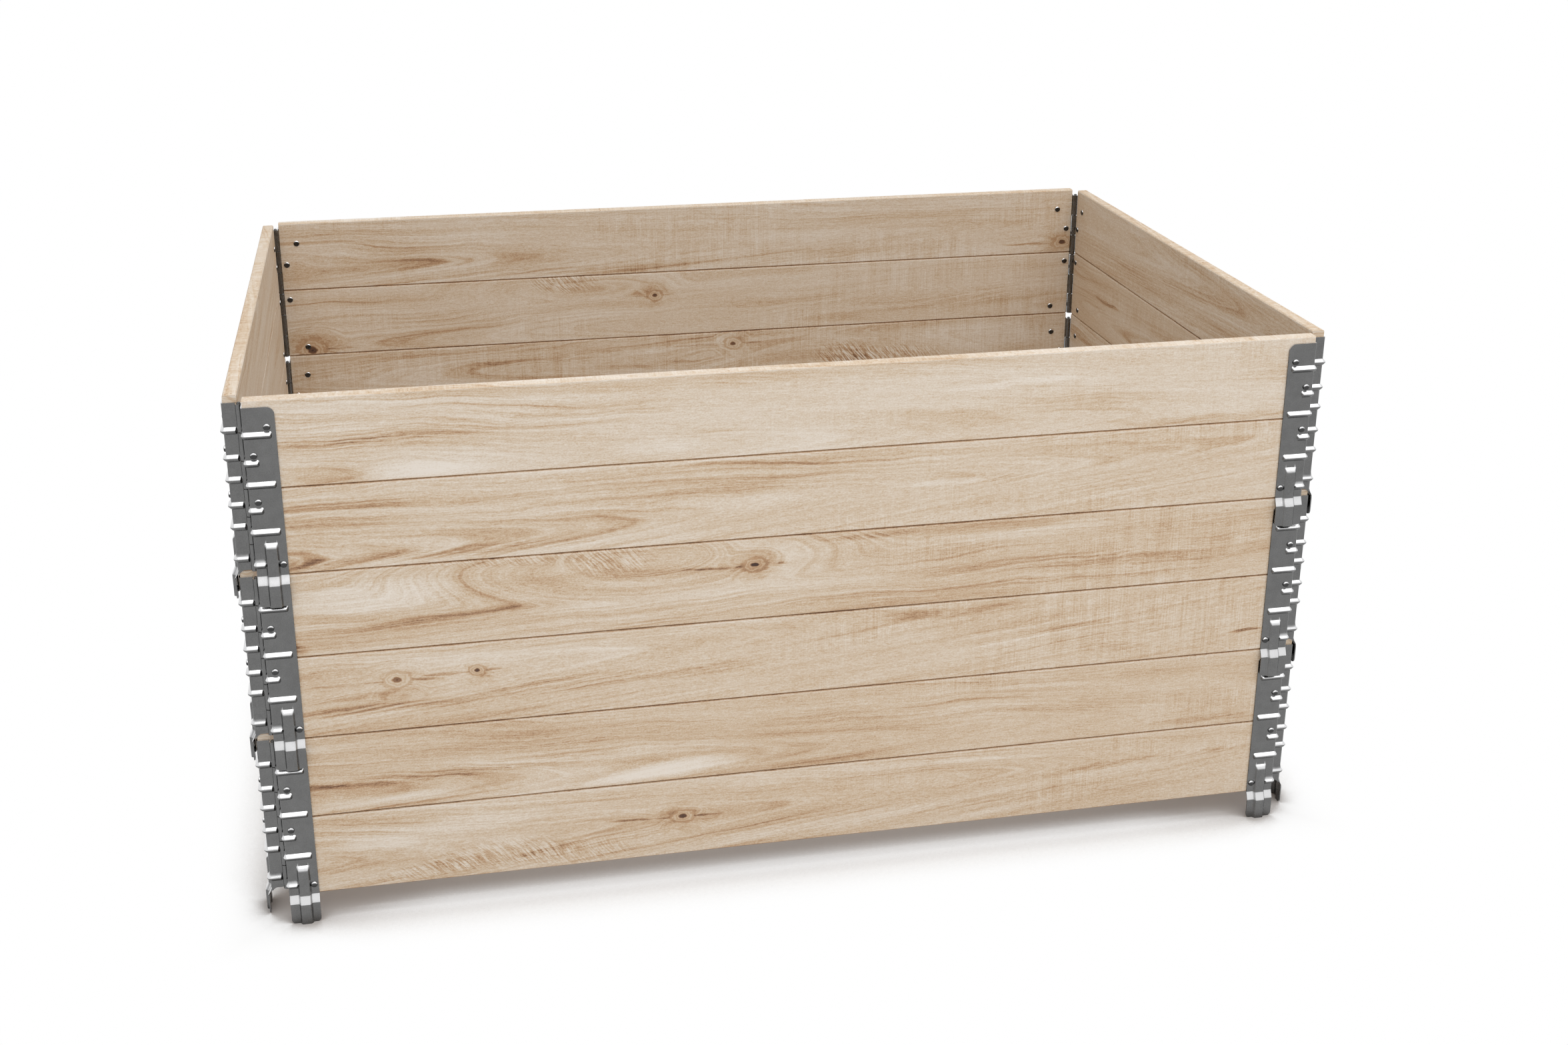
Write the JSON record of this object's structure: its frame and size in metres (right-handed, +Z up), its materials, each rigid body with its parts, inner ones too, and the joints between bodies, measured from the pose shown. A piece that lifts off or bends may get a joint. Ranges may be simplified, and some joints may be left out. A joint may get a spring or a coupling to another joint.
{
  "type": "pallet collar",
  "caption": "Stack of folding wooden pallet collars: two-board panels joined at the corners by pressed steel hinges whose tongues lock each collar over the one below.",
  "frame": {"origin": "on the floor under the middle of the stack, level with the ends of the lowest tongues", "axes": "+X along the long sides towards the viewer's right, +Y from the front panels to the back, +Z up"},
  "size_m": [1.218, 0.818, 0.608],
  "materials": {
    "sawn_softwood": "sawn and planed softwood, matt, with fine grain",
    "galvanised_sheet": "hot-dip galvanised, satin, faintly mottled",
    "pin_steel": "dark drawn steel"
  },
  "bodies": {
    "lower_front": {"lower_front_board_bottom": "sawn_softwood", "lower_front_board_top": "sawn_softwood", "lower_front_hinge_leaf_left": "galvanised_sheet", "lower_front_hinge_leaf_right": "galvanised_sheet", "lower_hinge_pin_front_left": "pin_steel", "lower_hinge_pin_front_right": "pin_steel"},
    "lower_right": {"lower_right_board_bottom": "sawn_softwood", "lower_right_board_top": "sawn_softwood", "lower_right_hinge_leaf_left": "galvanised_sheet", "lower_right_hinge_leaf_right": "galvanised_sheet"},
    "lower_back": {"lower_back_board_bottom": "sawn_softwood", "lower_back_board_top": "sawn_softwood", "lower_back_hinge_leaf_left": "galvanised_sheet", "lower_back_hinge_leaf_right": "galvanised_sheet", "lower_hinge_pin_back_left": "pin_steel", "lower_hinge_pin_back_right": "pin_steel"},
    "lower_left": {"lower_left_board_bottom": "sawn_softwood", "lower_left_board_top": "sawn_softwood", "lower_left_hinge_leaf_left": "galvanised_sheet", "lower_left_hinge_leaf_right": "galvanised_sheet"},
    "middle_front": {"middle_front_board_bottom": "sawn_softwood", "middle_front_board_top": "sawn_softwood", "middle_front_hinge_leaf_left": "galvanised_sheet", "middle_front_hinge_leaf_right": "galvanised_sheet", "middle_hinge_pin_front_left": "pin_steel", "middle_hinge_pin_front_right": "pin_steel"},
    "middle_right": {"middle_right_board_bottom": "sawn_softwood", "middle_right_board_top": "sawn_softwood", "middle_right_hinge_leaf_left": "galvanised_sheet", "middle_right_hinge_leaf_right": "galvanised_sheet"},
    "middle_back": {"middle_back_board_bottom": "sawn_softwood", "middle_back_board_top": "sawn_softwood", "middle_back_hinge_leaf_left": "galvanised_sheet", "middle_back_hinge_leaf_right": "galvanised_sheet", "middle_hinge_pin_back_left": "pin_steel", "middle_hinge_pin_back_right": "pin_steel"},
    "middle_left": {"middle_left_board_bottom": "sawn_softwood", "middle_left_board_top": "sawn_softwood", "middle_left_hinge_leaf_left": "galvanised_sheet", "middle_left_hinge_leaf_right": "galvanised_sheet"},
    "upper_front": {"upper_front_board_bottom": "sawn_softwood", "upper_front_board_top": "sawn_softwood", "upper_front_hinge_leaf_left": "galvanised_sheet", "upper_front_hinge_leaf_right": "galvanised_sheet", "upper_hinge_pin_front_left": "pin_steel", "upper_hinge_pin_front_right": "pin_steel"},
    "upper_right": {"upper_right_board_bottom": "sawn_softwood", "upper_right_board_top": "sawn_softwood", "upper_right_hinge_leaf_left": "galvanised_sheet", "upper_right_hinge_leaf_right": "galvanised_sheet"},
    "upper_back": {"upper_back_board_bottom": "sawn_softwood", "upper_back_board_top": "sawn_softwood", "upper_back_hinge_leaf_left": "galvanised_sheet", "upper_back_hinge_leaf_right": "galvanised_sheet", "upper_hinge_pin_back_left": "pin_steel", "upper_hinge_pin_back_right": "pin_steel"},
    "upper_left": {"upper_left_board_bottom": "sawn_softwood", "upper_left_board_top": "sawn_softwood", "upper_left_hinge_leaf_left": "galvanised_sheet", "upper_left_hinge_leaf_right": "galvanised_sheet"}
  },
  "joints": [
    {"name": "fold", "type": "hinge", "parent": "lower_front", "child": "lower_left", "pos_m": [-0.5839, -0.3839, 0.1257], "axis": [0, 0, 1], "range_deg": [-88, 88]},
    {"name": "lower_front_right_hinge", "type": "hinge", "parent": "lower_front", "child": "lower_right", "pos_m": [0.5839, -0.3839, 0.1257], "axis": [0, 0, 1], "range_deg": [-88, 88]},
    {"name": "lower_back_left_hinge", "type": "hinge", "parent": "lower_left", "child": "lower_back", "pos_m": [-0.5839, 0.3839, 0.1257], "axis": [0, 0, 1], "range_deg": [-88, 88]},
    {"name": "middle_lift", "type": "slide", "parent": "lower_front", "child": "middle_front", "axis": [0, 0, 1], "range_m": [0, 0.25]},
    {"name": "middle_front_left_hinge", "type": "hinge", "parent": "middle_front", "child": "middle_left", "pos_m": [-0.5839, -0.3839, 0.3175], "axis": [0, 0, 1], "range_deg": [-88, 88]},
    {"name": "middle_front_right_hinge", "type": "hinge", "parent": "middle_front", "child": "middle_right", "pos_m": [0.5839, -0.3839, 0.3175], "axis": [0, 0, 1], "range_deg": [-88, 88]},
    {"name": "middle_back_left_hinge", "type": "hinge", "parent": "middle_left", "child": "middle_back", "pos_m": [-0.5839, 0.3839, 0.3175], "axis": [0, 0, 1], "range_deg": [-88, 88]},
    {"name": "upper_lift", "type": "slide", "parent": "middle_front", "child": "upper_front", "axis": [0, 0, 1], "range_m": [0, 0.25]},
    {"name": "upper_front_left_hinge", "type": "hinge", "parent": "upper_front", "child": "upper_left", "pos_m": [-0.5839, -0.3839, 0.5093], "axis": [0, 0, 1], "range_deg": [-88, 88]},
    {"name": "upper_front_right_hinge", "type": "hinge", "parent": "upper_front", "child": "upper_right", "pos_m": [0.5839, -0.3839, 0.5093], "axis": [0, 0, 1], "range_deg": [-88, 88]},
    {"name": "upper_back_left_hinge", "type": "hinge", "parent": "upper_left", "child": "upper_back", "pos_m": [-0.5839, 0.3839, 0.5093], "axis": [0, 0, 1], "range_deg": [-88, 88]}
  ],
  "couplings": [
    {"joint": "lower_front_right_hinge", "follows": "fold", "ratio": 1},
    {"joint": "lower_back_left_hinge", "follows": "fold", "ratio": -1},
    {"joint": "middle_front_left_hinge", "follows": "fold", "ratio": 1},
    {"joint": "middle_front_right_hinge", "follows": "fold", "ratio": 1},
    {"joint": "middle_back_left_hinge", "follows": "fold", "ratio": -1},
    {"joint": "upper_front_left_hinge", "follows": "fold", "ratio": 1},
    {"joint": "upper_front_right_hinge", "follows": "fold", "ratio": 1},
    {"joint": "upper_back_left_hinge", "follows": "fold", "ratio": -1}
  ]
}
